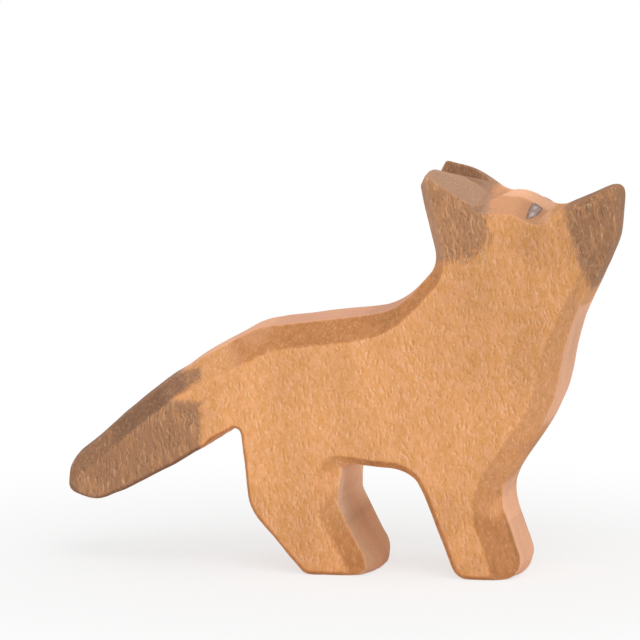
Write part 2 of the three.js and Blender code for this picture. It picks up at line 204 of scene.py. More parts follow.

# Places where the colour is made darker or lighter: x, z, reach in millimetres, and the change. At the
# knees the change is painted highlight and painted light
SHADES = (
    (25.0, 39.0, 15.0, -0.1),  # neck
    (25.2, 9.9, 2.6, 0.14),  # front knees: painted highlight
    (0.8, 13.0, 4.0, 0.1),  # hind knees: painted light in the arch's shadow
    (6.3, 16.5, 4.0, -0.05),  # rear of the belly
    (-2.0, 2.0, 14.0, -0.05),  # hind feet
    (22.0, 2.0, 14.0, -0.05),  # front feet
    (-15.0, 25.0, 9.0, 0.04),  # root of the tail
    (39.0, 50.0, 11.0, -0.08),  # muzzle
    (33.0, 33.0, 9.0, -0.02),  # chest
    (26.5, 16.5, 6.0, -0.06),  # top of the front legs
    (32.8, 52.0, 8.0, -0.12),  # cheeks
    (28.0, 51.5, 5.0, -0.06),  # below the eyes
    (39.3, 57.1, 5.0, -0.1),  # top of the nose
    (7.6, 39.5, 4.0, -0.1),  # foot of the neck
    (22.0, 0.5, 4.0, -0.09),  # front soles
    (14.6, 56.3, 3.0, -0.1),  # back of the ears
    (-24.3, 28.1, 4.0, 0.22),  # top of the tail
    (1.5, 9.8, 3.5, -0.12),  # below the hind knees
    (-12.3, 10.0, 4.0, -0.09),  # back of the hind legs
    (15.8, 9.5, 5.0, -0.08),  # back of the front legs
)

# Grain, in millimetres
GRAIN_TILT = math.radians(-7)
STROKE_SIZE = (0.28, 0.28, 1.05)
STROKE_SHIFT = (0.3, 0.0, 0.2)  # from a light stroke to the dark one beside it
SCRATCH_SIZE = (0.25, 0.25, 3.0)
FIBRE_SIZE = (0.24, 0.24, 0.4)
BLOTCH_SIZE = (1.0, 1.0, 1.8)
STREAK_SIZE = (0.6, 0.6, 3.5)
CLOUD_SIZE = (6.0, 6.0, 14.0)
WANDER_SIZE = 2.4  # distance over which the grain bends
WANDER = 1.1  # how far it strays there
STROKE_EDGE = (0.04, 0.19)  # noise at which a stroke begins, and at which it is full
SCRATCH_EDGE = (0.12, 0.2)
BLOTCH_EDGE = (-0.14, 0.14)
STREAK_EDGE = (0.02, 0.14)
LIGHT_STROKES = 0.6  # strengths
DARK_STROKES = 0.55
SCRATCHES = 0.62
FIBRE_STRENGTH = 0.36
CLOUD_STRENGTH = 0.3
STREAKS = 0.3  # how far the wood shows through a thin streak of the stain
EAR_STREAKS = 0.36
BEVEL_GRAIN = 0.5  # share of the strokes that shows on a knife bevel
EDGE_GRAIN = 0.4  # and on the board's edge
RIDGE_WEAR_AND_HIGHLIGHT = 0.14  # how much lighter a ridge is, partly from wear and partly as painted highlight, and how much darker a hollow is, as painted shade
BUMP_DEPTH = 0.1
BUMP_STRENGTH = 0.28
WOOD_ROUGHNESS = 0.65
WOOD_SHINE = 0.06
NOISE_MIDDLE = 0.5  # mean of Blender's noise

# Stain edges on the side faces: two points as x and z, in millimetres. The stain is on the left of
# the way from the first to the second, seen from the dog's right.
MUZZLE_STAIN = ((33.9, 55.0), (37.7, 43.0))
EAR_STAIN_FRONT = ((23.7, 50.0), (22.9, 57.7))
EAR_STAIN_CORNER = ((20.4, 47.0), (23.9, 49.9))
EAR_STAIN_FOOT = ((15.9, 46.6), (20.4, 47.0))
TAIL_STAIN_END = ((-19.7, 19.0), (-19.6, 25.0))
TAIL_STAIN_TOP = ((-19.0, 25.1), (-27.0, 25.2))
TONGUE_END = ((-19.4, 27.0), (-20.2, 31.0))
TONGUE_FOOT = ((-27.0, 23.4), (-19.5, 28.6))
TONGUE_TOP = ((-19.8, 30.0), (-22.6, 29.4))
BRUSH_STRAY = 2.6  # how far the stain's edge follows the strokes
EAR_BRUSH_STRAY = 6.0
STAIN_FADE = 1.0  # width of the stain's edge
EAR_COVER = 0.86  # how far the stain hides the wood there

# Colours as linear RGB
FLANK_WARM = (0.745, 0.353, 0.129)
FLANK_PALE = (0.815, 0.398, 0.185)
CUT_WARM = (0.515, 0.219, 0.081)
CUT_PALE = (0.590, 0.258, 0.102)
LIGHT_CUT = (0.725, 0.358, 0.190)
# The board's edge: the sawn wood's own colour, with a pink tint that is painted light from above and the
# right. PAINTED_LIGHT_EDGE is paler painted light where the edge faces the light.
EDGE = (0.81, 0.420, 0.268)
PAINTED_LIGHT_EDGE = (0.97, 0.53, 0.322)
# Painted shade for the board's edge inside the arch, and the paler painted light on it
ARCH_SHADED_EDGE = (0.73, 0.462, 0.277)
ARCH_PAINTED_LIGHT_EDGE = (1.0, 0.735, 0.50)
LIGHT_STROKE = (0.93, 0.545, 0.31)
DARK_STROKE = (0.56, 0.235, 0.072)
STAIN = (0.408, 0.208, 0.111)
STAIN_CUT = (0.241, 0.127, 0.075)
STAIN_LIGHT_CUT = (0.478, 0.293, 0.197)
STAIN_LIGHT_STROKE = (0.57, 0.335, 0.19)
STAIN_DARK_STROKE = (0.21, 0.09, 0.043)
SCRATCH = (0.70, 0.47, 0.29)
EYE_LINE = (0.19, 0.10, 0.074)
EYE_GREY = (0.33, 0.232, 0.20)
# Painted highlight of the eye's glints
EYE_PAINTED_GLINT = (0.63, 0.52, 0.50)
FLOOR_PALE = (0.93, 0.93, 0.93)
WHITE = (1.0, 1.0, 1.0)

# Eyes: corners of the right eye's dab from its middle, seen along the brush, in millimetres
EYE_MIDDLE = (29.6, -7.0, 53.9)
EYE_CORNERS = ((-0.3, 1.55), (1.4, 0.55), (0.35, -0.7), (-1.6, -1.35))
EYE_BRUSH = (math.radians(10.9), math.radians(7.0))  # azimuth and elevation
EYE_STEPS = 24
EYE_HEIGHT = 0.07
EYE_SINK = 0.05
EYE_ROUNDING = 0.14
EYE_SIDES = (0.85, 0.78, 0.95, 0.66)  # strength of the outline: rear, upper, front and lower side
EYE_GLINTS = ((-0.1, -0.5, 0.45), (-0.15, 0.5, 0.35))  # painted highlights: place along and across the dab, and reach
EYE_APPROACH = 50  # how far from the dab's middle the brush comes from
EYE_CROWN = 4  # power by which the dab thins out towards its outline
EYE_WASH_SIZE = (0.3, 0.3, 0.3)
EYE_WASH = 1.2  # how far the outline strays with the cloudy paint
EYE_LINE_EDGE = (0.5, 0.9)  # strength at which the outline begins, and at which it is full
EYE_ROUGHNESS = 0.6

# Camera, in millimetres and in the pixels of a square picture
PICTURE = 640
AZIMUTH = math.radians(10.875)
ELEVATION = math.radians(6.972)
DISTANCE = 620
TARGET_HEIGHT = 29
TARGET_PIXEL = (343.52, 371.25)
PIXELS_PER_MM = 6.712
SENSOR = 36
CLIP = (10, 100000)

# Light and floor, in metres. A lamp has its azimuth and elevation in degrees, distance, size and watts.
AMBIENT = 0.62
LAMPS = {"key": (25, 48, 1.2, 0.9, 5), "fill": (-40, 25, 1.4, 1.0, 1.8)}
FLOOR_RADIUS = 6.0
FLOOR_SIDES = 96
FLOOR_NEAR = 0.04
FLOOR_FAR = 0.12
FLOOR_WHITE = 0.68  # share of plain white in the floor beside the dog


def link(obj):
    bpy.context.scene.collection.objects.link(obj)
    return obj


def direction(azimuth, elevation):
    """The way from the dog to a viewer. Azimuth 0 is its right side, and grows towards its front."""
    level = math.cos(elevation)
    return Vector((math.sin(azimuth) * level, -math.cos(azimuth) * level, math.sin(elevation)))


def line_plane(line):
    """(point, normal) of the plane through a line on the side face. The normal points to its left."""
    (x0, z0), (x1, z1) = line
    return Vector((x0, 0, z0)) * MM, Vector((z0 - z1, 0, x1 - x0)).normalized()


def sawn(bm, point, normal):
    """The closed halves of a mesh ahead of a plane and behind it. The mesh itself is given up."""
    halves = []
    for side in (normal, -normal):
        half = bm.copy()
        geometry = half.verts[:] + half.edges[:] + half.faces[:]
        cut = bmesh.ops.bisect_plane(
            half, geom=geometry, dist=SAW_TOLERANCE * MM, plane_co=point, plane_no=-side, clear_outer=True
        )
        rim = [e for e in cut["geom_cut"] if isinstance(e, bmesh.types.BMEdge)]
        if rim:
            filled = bmesh.ops.triangle_fill(half, use_beauty=True, edges=rim, normal=-side)
            for face in filled["geom"]:
                if isinstance(face, bmesh.types.BMFace):
                    face.smooth = False
                    if face.normal.dot(side) > 0:
                        face.normal_flip()
        halves.append(half)
    bm.free()
    return halves


def hull_of(points):
    """The smallest bulging solid round some points."""
    bm = bmesh.new()
    for point in points:
        bm.verts.new(point)
    hull = bmesh.ops.convex_hull(bm, input=bm.verts)
    inner = {v for v in hull["geom_interior"] if isinstance(v, bmesh.types.BMVert)}
    bmesh.ops.delete(bm, geom=list(inner), context="VERTS")
    bm.normal_update()
    return bm


def filled_out(bm):
    """The block that a section with bevels was carved from, as far as the board's face."""
    face = min(v.co.y for v in bm.verts)
    points = [v.co.copy() for v in bm.verts]
    return hull_of(points + [Vector((p.x, face, p.z)) for p in points])


def swell_out(bm, swell):
    """Moves a solid's faces outwards by a length in millimetres."""
    moves = [v.normal * min(v.calc_shell_factor(), SHARPEST) * swell * MM for v in bm.verts]
    for vertex, move in zip(bm.verts, moves):
        vertex.co += move


def toe_mesh(back, suddenness, levels):
    """The rounded wood of a toe, swollen like the sections."""
    points = []
    for z, front, right_cut, left_cut, right, left in levels:
        points += [(back, -right, z), (back, left, z)]
        for share in np.linspace(-1, 1, TOE_STEPS):
            cut, width = (right_cut, right) if share < 0 else (left_cut, left)
            points.append((front - cut * abs(share) ** suddenness, share * width, z))
    bm = hull_of([Vector(p) * MM for p in points])
    swell_out(bm, SWELL)
    mesh = bpy.data.meshes.new("toe")
    bm.to_mesh(mesh)
    bm.free()
    return mesh


def section_mesh(name, swell):
    """A section moved outwards by a length in millimetres, with the cuts that it has of its own."""
    bm = bmesh.new()
    bm.from_mesh(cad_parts[name].data)
    bmesh.ops.remove_doubles(bm, verts=bm.verts, dist=WELD * MM)
    bm.normal_update()
    swell_out(bm, swell)
    if name in BLOCKS:
        bm = filled_out(bm)
    for line, lean in EAR_CUTS.get(name, ()):
        point, across = line_plane(line)
        point.y = cad_box[0].y
        normal = across * math.cos(lean) - Vector((0, math.sin(lean), 0))
        _, bm = sawn(bm, point + normal * swell * MM, normal)
    mesh = bpy.data.meshes.new("section")
    bm.to_mesh(mesh)
    bm.free()
    return mesh


def joined_sections():
    """All sections, swollen so that they reach each other across the seams, remeshed as one skin."""
    bm = bmesh.new()
    sections = [section_mesh(name, SWELL) for name in WOOD_SLOTS]
    for mesh in sections + [toe_mesh(*toe) for toe in TOES]:
        bm.from_mesh(mesh)
        bpy.data.meshes.remove(mesh)
    mesh = bpy.data.meshes.new("sections")
    bm.to_mesh(mesh)
    bm.free()
    obj = link(bpy.data.objects.new("sections", mesh))
    remesh = obj.modifiers.new("skin", "REMESH")
    remesh.mode = "VOXEL"
    remesh.voxel_size = VOXEL * MM
    remesh.adaptivity = 0
    skin = bpy.data.meshes.new_from_object(obj.evaluated_get(bpy.context.evaluated_depsgraph_get()))
    bpy.data.objects.remove(obj)
    bpy.data.meshes.remove(mesh)
    return skin


def points_of(mesh):
    points = np.empty(len(mesh.vertices) * 3, np.float32)
    mesh.vertices.foreach_get("co", points)
    return points.reshape(-1, 3).astype(float)


def normals_of(mesh):
    normals = np.empty(len(mesh.vertices) * 3, np.float32)
    mesh.vertex_normals.foreach_get("vector", normals)
    return normals.reshape(-1, 3).astype(float)


def edges_of(mesh):
    edges = np.empty(len(mesh.edges) * 2, np.int32)
    mesh.edges.foreach_get("vertices", edges)
    return edges.reshape(-1, 2)


def set_points(mesh, points):
    mesh.vertices.foreach_set("co", points.astype(np.float32).ravel())
    mesh.update()


def neighbour_mean(values, edges):
    """The mean of each vertex's neighbours, for an array of one row per vertex."""
    ends = np.concatenate([edges, edges[:, ::-1]])
    count = np.bincount(ends[:, 0], minlength=len(values))
    sums = [np.bincount(ends[:, 0], values[ends[:, 1], i], len(values)) for i in range(values.shape[1])]
    return np.stack(sums, axis=1) / count[:, None]


def smoothed(values, edges, passes):
    for _ in range(passes):
        values = (values + neighbour_mean(values, edges)) / 2
    return values


def seam_plane(name, other):
    """(point, normal) of the plane between two sections. The normal points into the first."""
    near = []
    for one, two in ((name, other), (other, name)):
        tree = BVHTree.FromObject(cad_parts[two], bpy.context.evaluated_depsgraph_get())
        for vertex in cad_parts[one].data.vertices:
            if tree.find_nearest(vertex.co, SEAM_REACH * MM)[0] is not None:
                near.append(vertex.co)
    near = np.array(near)
    centre = near.mean(axis=0)
    normal = np.linalg.svd(near - centre)[2][2]
    inside = points_of(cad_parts[name].data).mean(axis=0)
    return Vector(centre), Vector(normal * np.sign((inside - centre) @ normal))


def uncut_faces(planes):
    """(corners, faces, names) of the sections without the faces that the seams cut."""
    corners, faces, names = [], [], []
    for name in WOOD_SLOTS:
        mesh = section_mesh(name, 0)
        for face in mesh.polygons:
            on_seam = any(
                abs((face.center - centre).dot(normal)) < SEAM_REACH * MM
                and abs(face.normal.dot(normal)) > SEAM_FACING
                for centre, normal in planes
            )
            if not on_seam:
                faces.append([len(corners) + i for i in face.vertices])
                names.append(name)
        corners.extend(points_of(mesh).tolist())
        bpy.data.meshes.remove(mesh)
    return corners, faces, names


def face_kinds(points, planes):
    """Two shares for each point: how far it lies on a knife bevel, and how far on the board's edge."""
    corners, faces, names = uncut_faces(planes)
    tree = BVHTree.FromPolygons(corners, faces)
    kinds = np.zeros((len(points), 2))
    for i, point in enumerate(points):
        _, normal, face, _ = tree.find_nearest(point)
        facing = abs(normal.y)
        if names[face] in BRUSHED_OVER:
            continue
        if facing < EDGE_FACING:
            kinds[i, 1] = 1
        elif facing < SIDE_FACING:
            kinds[i, 0] = 1
    return kinds


def wobble(points):
    """Moves of the points in the board's plane, as a hand-guided blade strays from its line."""
    noise.seed_set(WOBBLE_SEED)
    moves = np.zeros_like(points)
    for i, point in enumerate(points / (WOBBLE_LENGTH * MM)):
        moves[i] = noise.noise_vector(Vector(point))
    moves[:, 1] = 0
    return moves * WOBBLE * MM


def strays(points):
    """Moves of the points where the blade left its line."""
    moves = np.zeros_like(points)
    for *place, along, up in STRAYS:
        moves += np.outer(nearness(points, *place), (along, 0, up))
    return moves * MM


def chatter(points):
    """Heights of the uneven strokes that a knife leaves."""
    return np.array([noise.noise(Vector(p)) for p in points / (CHATTER_LENGTH * MM)]) * CHATTER * MM


def rubbed_crease(points, edges, plane):
    """The points with the skin beside a seam smoothed further."""
    centre, normal = (np.array(v) for v in plane)
    share = np.clip(1 - np.abs((points - centre) @ normal) / (CREASE_REACH * MM), 0, 1)[:, None]
    return points + (smoothed(points, edges, CREASE_SOFTENING) - points) * share


def nearness(points, x, z, reach):
    """1 within half the reach of a place on the side face, and smoothly down to 0 at its reach."""
    away = np.hypot(points[:, 0] / MM - x, points[:, 2] / MM - z)
    share = np.clip(2 - 2 * away / reach, 0, 1)
    return share * share * (3 - 2 * share)


def near_any(points, places):
    """The nearness of each point to the nearest of some places."""
    return np.max([nearness(points, *place) for place in places], axis=0)


def lightness(points):
    """How light a bevel is at each point, and how much painted light the board's edge gets."""
    shares = [np.outer(nearness(points, *place[:3]), place[3:]) for place in LIGHT_CUTS]
    return np.max(shares, axis=0)


def wear(points):
    """How far a bevel is worn away at each point."""
    return np.max([share * nearness(points, *place) for *place, share in WORN_CUTS], axis=0)


def between_ears(points, seam):
    """1 on the walls of the notch between the ears, and 0 elsewhere."""
    centre, normal = (np.array(v) for v in seam)
    above = (points - centre) @ normal > 0
    inside = above & (np.abs(points[:, 1]) < NOTCH_HALF * MM)
    return inside * (1 - np.interp(points[:, 0] / MM, NOTCH_END, (0, 1)))


def shade(points):
    """How much lighter or darker the colour is made at each point, with painted highlight and painted
    light at the knees.
    """
    return np.sum([change * nearness(points, *place) for *place, change in SHADES], axis=0)


def ridge_cut_shade(points, edges, kinds):
    """How much painted shade the narrow cut gets that lies on the bevel beside the board's edge."""
    *place, change = RIDGE_CUT_SHADE
    beside = smoothed(kinds[:, 1:], edges, RIDGE_CUT_SOFTENING)[:, 0] * kinds[:, 0]
    return change * np.clip(2 * beside, 0, 1) * nearness(points, *place)


def add_attribute(mesh, name, values):
    kind, field = ("FLOAT", "value") if values.ndim == 1 else ("FLOAT_VECTOR", "vector")
    attribute = mesh.attributes.new(name, kind, "POINT")
    attribute.data.foreach_set(field, values.astype(np.float32).ravel())


def softened(mesh, edges, seams):
    """The skin's points, moved back by the swelling, with soft edges and rubbed places."""
    points = points_of(mesh) - normals_of(mesh) * SWELL * MM
    points = smoothed(points, edges, SOFTENING)
    points = rubbed_crease(points, edges, seams["muzzle"])
    rubbed = near_any(points, RUBBED)[:, None]
    return points + (smoothed(points, edges, RUBBED_SOFTENING) - points) * rubbed


def soft_kinds(points, edges, seams):
    """The shares from face_kinds with soft borders, changed where a bevel is cut further or worn."""
    kinds = smoothed(face_kinds(points, list(seams.values())), edges, KIND_SOFTENING)
    kinds += np.outer(near_any(points, CUT_EDGES) * kinds[:, 1], (1, -1))
    kinds[:, 0] *= 1 - wear(points)
    return kinds


def hand_cut(points, normals, kinds):
    """The points, made uneven as by hand. The soles stay flat."""
    grip = np.clip(points[:, 2] / (SOLE_FADE * MM), 0, 1)
    cut = kinds.sum(axis=1) * grip
    points = points + wobble(points) * grip[:, None] + strays(points)
    points = points + normals * (chatter(points) * cut)[:, None]
    points[:, 2] = np.maximum(points[:, 2], 0)
    return points


def ridges(points, normals, edges):
    """How far each point stands out from its surroundings, from -1 to 1."""
    rise = ((points - smoothed(points, edges, RIDGE_REACH)) * normals).sum(axis=1, keepdims=True)
    return np.clip(smoothed(rise, edges, 1) / (RIDGE_HEIGHT * MM), -1, 1)[:, 0]


def carved_dog(seams):
    """The whole carving as one mesh, with attributes for its kinds of surface."""
    mesh = joined_sections()
    edges = edges_of(mesh)
    points = softened(mesh, edges, seams)
    kinds = soft_kinds(points, edges, seams)
    # The walls of the notch between the ears get no light cuts and no painted light, so they stay darker
    # as painted shade
    light = lightness(points) * (1 - between_ears(points, seams["ears"]))[:, None]
    set_points(mesh, points)
    points = hand_cut(points, normals_of(mesh), kinds)
    set_points(mesh, points)
    normals = normals_of(mesh)
    # Painted shade on the board's edge inside the arch, and painted light on it that grows towards the
    # dog's left
    arch_shade = near_any(points, ARCH_SHADE_PLACES)
    arch_far_light = arch_shade * kinds[:, 1] * np.interp(points[:, 1] / MM, ARCH_LIGHT_TURN, (0, ARCH_PAINTED_LIGHT_GAIN))
    attributes = {
        "bevel": kinds[:, 0],
        "edge": kinds[:, 1],
        "ridge": ridges(points, normals, edges),
        "light_bevel": light[:, 0],
        "edge_painted_light": light[:, 1],
        "arch_edge_shade": arch_shade,
        # The tone by place, the painted shade on the ridge cut, and the painted light on the arch's edges
        "shade": shade(points) + ridge_cut_shade(points, edges, kinds) + arch_far_light,
        "carved_normal": normals,
    }
    for name, values in attributes.items():
        add_attribute(mesh, name, values)
    return mesh


def sections_of(mesh, seams):
    """The carving sawn along the CAD's seams, as one closed mesh for each section."""
    whole = bmesh.new()
    whole.from_mesh(mesh)
    for face in whole.faces:
        face.smooth = True
    tail, body = sawn(whole, *seams["tail"])
    legs, upper = sawn(body, *seams["legs"])
    hind, front = sawn(legs, *seams["arch"])
    muzzle, rest = sawn(upper, *seams["muzzle"])
    crown, torso = sawn(rest, *seams["neck"])
    ears, head = sawn(crown, *seams["ears"])
    right_ear, left_ear = sawn(ears, *seams["middle"])
    return {
        "torso": torso,
        "hind_legs": hind,
        "front_legs": front,
        "head": head,
        "muzzle": muzzle,
        "right_ear": right_ear,
        "left_ear": left_ear,
        "tail": tail,
    }


def seams_from_frame():
    """(point, normal) of the planes that divide the CAD. The legs are parted halfway along their arch."""
    arch = (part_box("hind_legs")[1].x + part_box("front_legs")[0].x) / 2
    return {
        "tail": seam_plane("tail", "torso"),
        "legs": seam_plane("hind_legs", "torso"),
        "arch": (Vector((arch, 0, 0)), Vector((-1, 0, 0))),
        "muzzle": seam_plane("muzzle", "head"),
        "neck": seam_plane("head", "torso"),
        "ears": seam_plane("right_ear", "head"),
        "middle": (Vector((0, 0, 0)), Vector((0, -1, 0))),
    }


def shade_as_whole(mesh):
    """Gives a section the normals of the whole carving, so that no seam shows."""
    count = len(mesh.vertices)
    carved = np.empty(count * 3, np.float32)
    mesh.attributes["carved_normal"].data.foreach_get("vector", carved)
    carved = carved.reshape(-1, 3)
    normals = []
    for face in mesh.polygons:
        for vertex in face.vertices:
            normals.append(carved[vertex] if face.use_smooth else face.normal)
    mesh.attributes.remove(mesh.attributes["carved_normal"])
    mesh.normals_split_custom_set([tuple(n) for n in normals])


def add_wood(mesh, seams, material):
    for name, bm in sections_of(mesh, seams).items():
        piece_mesh = bpy.data.meshes.new("carved_" + name)
        bm.to_mesh(piece_mesh)
        bm.free()
        shade_as_whole(piece_mesh)
        piece_mesh.materials.append(material)
        piece = link(bpy.data.objects.new("carved_" + name, piece_mesh))
        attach(piece, "root")
        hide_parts(name)


class Tree:
    """The node tree of a material or a world, with short calls for the nodes used here."""

    def __init__(self, owner):
        self.owner = owner
        self.owner.use_nodes = True
        self.tree = self.owner.node_tree
        self.tree.nodes.clear()

    def node(self, kind, sockets=None, **settings):
        made = self.tree.nodes.new("ShaderNode" + kind)
        for name, value in settings.items():
            setattr(made, name, value)
        for name, value in (sockets or {}).items():
            self.feed(made.inputs[name], value)
        return made

    def feed(self, socket, value):
        if isinstance(value, bpy.types.NodeSocket):
            self.tree.links.new(value, socket)
        else:
            socket.default_value = value

    def math(self, operation, *values):
        return self.node("Math", dict(enumerate(values)), operation=operation).outputs[0]

    def step(self, value, low, high, top=1.0):
        """A smooth rise from 0 at low to the top at high."""
        sockets = {"Value": value, "From Min": low, "From Max": high, "To Max": top}
        return self.node("MapRange", sockets, interpolation_type="SMOOTHSTEP").outputs[0]

    def mix(self, share, first, second):
        """A mix of two colours. Blender's node has them on its sockets 6 and 7, and the mix on 2."""
        made = self.node("Mix", data_type="RGBA")
        for index, value in ((0, share), (6, first), (7, second)):
            self.feed(made.inputs[index], value)
        return made.outputs[2]

    def centred_noise(self, vector):
        """Noise around 0."""
        pattern = self.node("TexNoise", {"Vector": vector, "Scale": 1.0}).outputs[0]
        return self.math("SUBTRACT", pattern, NOISE_MIDDLE)

    def wandering(self, vector, size, reach):
        """Coordinates that stray, so that a pattern laid along them bends."""
        pattern = self.node("TexNoise", {"Vector": vector, "Scale": 1 / size, "Detail": 1.0})
        sockets = {0: pattern.outputs["Color"], 1: (NOISE_MIDDLE, NOISE_MIDDLE, NOISE_MIDDLE)}
        centred = self.node("VectorMath", sockets, operation="SUBTRACT").outputs["Vector"]
        sockets = {0: centred, 1: (reach, reach, reach), 2: vector}
        return self.node("VectorMath", sockets, operation="MULTIPLY_ADD").outputs["Vector"]

    def stretched(self, vector, size, tilt=0.0, place=(0, 0, 0)):
        """Coordinates in which a blob of noise has the given size."""
        sockets = {"Vector": vector, "Location": place, "Rotation": (0, tilt, 0), "Scale": size}
        return self.node("Mapping", sockets, vector_type="TEXTURE").outputs[0]

    def millimetres(self):
        """The place on the object, in millimetres."""
        place = self.node("TexCoord").outputs["Object"]
        return self.node("VectorMath", {0: place, "Scale": 1 / MM}, operation="SCALE").outputs["Vector"]

    def attribute(self, name):
        return self.node("Attribute", attribute_name=name).outputs["Fac"]

    def seen(self):
        """1 where the camera looks at it, straight or by way of a mirror or glass, and 0 for its light."""
        path = self.node("LightPath")
        seen = self.math("MAXIMUM", path.outputs["Is Camera Ray"], path.outputs["Is Glossy Ray"])
        return self.math("MAXIMUM", seen, path.outputs["Is Transmission Ray"])

    def finish(self, shader, output="OutputMaterial"):
        self.node(output, {"Surface": shader})
        return self.owner


def rgba(colour):
    return (*colour, 1.0)


def left_of(tree, at, line):
    """How far, in millimetres, a place lies to the left of a line on the side face."""
    point, across = line_plane(line)
    dot = tree.node("VectorMath", {0: at, 1: across}, operation="DOT_PRODUCT").outputs["Value"]
    return tree.math("SUBTRACT", dot, across.dot(point) / MM)


def inside_all(tree, at, lines):
    """How far a place lies inside the corner that some lines make, each on its left."""
    distance = left_of(tree, at, lines[0])
    for line in lines[1:]:
        distance = tree.math("MINIMUM", distance, left_of(tree, at, line))
    return distance


def stain_share(tree, at, strokes, streaks):
    """How far the stain covers a place. Its edges follow the strokes, as the brush left them."""
    ear = [EAR_STAIN_FRONT, EAR_STAIN_CORNER, EAR_STAIN_FOOT]
    patches = (
        ([MUZZLE_STAIN], BRUSH_STRAY, 1.0, STREAKS),
        (ear, EAR_BRUSH_STRAY, EAR_COVER, EAR_STREAKS),
        ([TAIL_STAIN_END, TAIL_STAIN_TOP], BRUSH_STRAY, 1.0, STREAKS),
        ([TONGUE_END, TONGUE_FOOT, TONGUE_TOP], BRUSH_STRAY, 1.0, STREAKS),
    )
    share = None
    for lines, stray, cover, thinning in patches:
        distance = tree.math("MULTIPLY_ADD", strokes, stray, inside_all(tree, at, lines))
        thickness = tree.math("MULTIPLY_ADD", streaks, -thinning, cover)
        patch = tree.math("MULTIPLY", tree.step(distance, -STAIN_FADE / 2, STAIN_FADE / 2), thickness)
        share = patch if share is None else tree.math("MAXIMUM", share, patch)
    return share


def grain_noise(tree, at, size, shift=(0, 0, 0)):
    """Noise around 0 with blobs of a size, laid along the grain."""
    return tree.centred_noise(tree.stretched(at, size, GRAIN_TILT, shift))


def stroke_share(tree):
    """How far the sawn strokes show: fully on the side faces, and less on a bevel or the board's edge."""
    share = tree.math("MULTIPLY_ADD", tree.attribute("bevel"), BEVEL_GRAIN - 1, 1.0)
    return tree.math("MULTIPLY_ADD", tree.attribute("edge"), EDGE_GRAIN - 1, share)


def bare_wood(tree, blotches):
    """The colour of bare wood on the side faces, the knife bevels and the board's edge, whose pink tint
    and light places are painted light.
    """
    flank = tree.mix(blotches, rgba(FLANK_WARM), rgba(FLANK_PALE))
    cut = tree.mix(blotches, rgba(CUT_WARM), rgba(CUT_PALE))
    cut = tree.mix(tree.attribute("light_bevel"), cut, rgba(LIGHT_CUT))
    # Inside the arch, the board's edge takes a painted shade tint and a paler painted light
    arch_shade = tree.attribute("arch_edge_shade")
    edge = tree.mix(arch_shade, rgba(EDGE), rgba(ARCH_SHADED_EDGE))
    edge_painted_light = tree.mix(arch_shade, rgba(PAINTED_LIGHT_EDGE), rgba(ARCH_PAINTED_LIGHT_EDGE))
    edge = tree.mix(tree.attribute("edge_painted_light"), edge, edge_painted_light)
    return tree.mix(tree.attribute("edge"), tree.mix(tree.attribute("bevel"), flank, cut), edge)


def stained_wood(tree):
    """The colour of stained wood on the side faces and on the cuts."""
    on_cut = tree.math("MAXIMUM", tree.attribute("bevel"), tree.attribute("edge"))
    cut = tree.mix(tree.attribute("light_bevel"), rgba(STAIN_CUT), rgba(STAIN_LIGHT_CUT))
    return tree.mix(on_cut, rgba(STAIN), cut)


def wood_tone(tree, at, bent):
    """How light the wood is, by its fibres and clouds, by worn ridges with painted highlight and painted
    shade in hollows, and by place, with painted light and shade.
    """
    tone = tree.math("MULTIPLY_ADD", grain_noise(tree, bent, FIBRE_SIZE), FIBRE_STRENGTH, 1.0)
    tone = tree.math("MULTIPLY_ADD", grain_noise(tree, at, CLOUD_SIZE), CLOUD_STRENGTH, tone)
    tone = tree.math("MULTIPLY_ADD", tree.attribute("ridge"), RIDGE_WEAR_AND_HIGHLIGHT, tone)
    return tree.math("ADD", tree.attribute("shade"), tone)


def wood_material():
    tree = Tree(bpy.data.materials.new("carved_wood"))
    at = tree.millimetres()
    bent = tree.wandering(at, WANDER_SIZE, WANDER)
    shown = stroke_share(tree)

    def shown_strokes(pattern, edge, strength=1.0):
        return tree.math("MULTIPLY", tree.step(pattern, *edge, strength), shown)

    strokes = grain_noise(tree, bent, STROKE_SIZE)
    beside = grain_noise(tree, bent, STROKE_SIZE, STROKE_SHIFT)
    bright = shown_strokes(strokes, STROKE_EDGE, LIGHT_STROKES)
    dark = shown_strokes(beside, STROKE_EDGE, DARK_STROKES)
    scratched = shown_strokes(grain_noise(tree, bent, SCRATCH_SIZE), SCRATCH_EDGE, SCRATCHES)
    streaks = shown_strokes(grain_noise(tree, bent, STREAK_SIZE), STREAK_EDGE)
    blotches = tree.step(grain_noise(tree, bent, BLOTCH_SIZE), *BLOTCH_EDGE)
    depth = tree.math("MULTIPLY", strokes, shown)

    bare = tree.mix(dark, bare_wood(tree, blotches), rgba(DARK_STROKE))
    bare = tree.mix(bright, bare, rgba(LIGHT_STROKE))
    stained = tree.mix(dark, stained_wood(tree), rgba(STAIN_DARK_STROKE))
    stained = tree.mix(bright, stained, rgba(STAIN_LIGHT_STROKE))
    stained = tree.mix(scratched, stained, rgba(SCRATCH))
    colour = tree.mix(stain_share(tree, at, depth, streaks), bare, stained)
    sockets = {0: colour, "Scale": wood_tone(tree, at, bent)}
    colour = tree.node("VectorMath", sockets, operation="SCALE").outputs["Vector"]

    sockets = {"Strength": BUMP_STRENGTH, "Distance": BUMP_DEPTH * MM, "Height": depth}
    bump = tree.node("Bump", sockets).outputs[0]
    shader = tree.node("BsdfPrincipled", {"Base Color": colour, "Normal": bump})
    shader.inputs["Roughness"].default_value = WOOD_ROUGHNESS
    shader.inputs["Specular IOR Level"].default_value = WOOD_SHINE
    return tree.finish(shader.outputs[0])


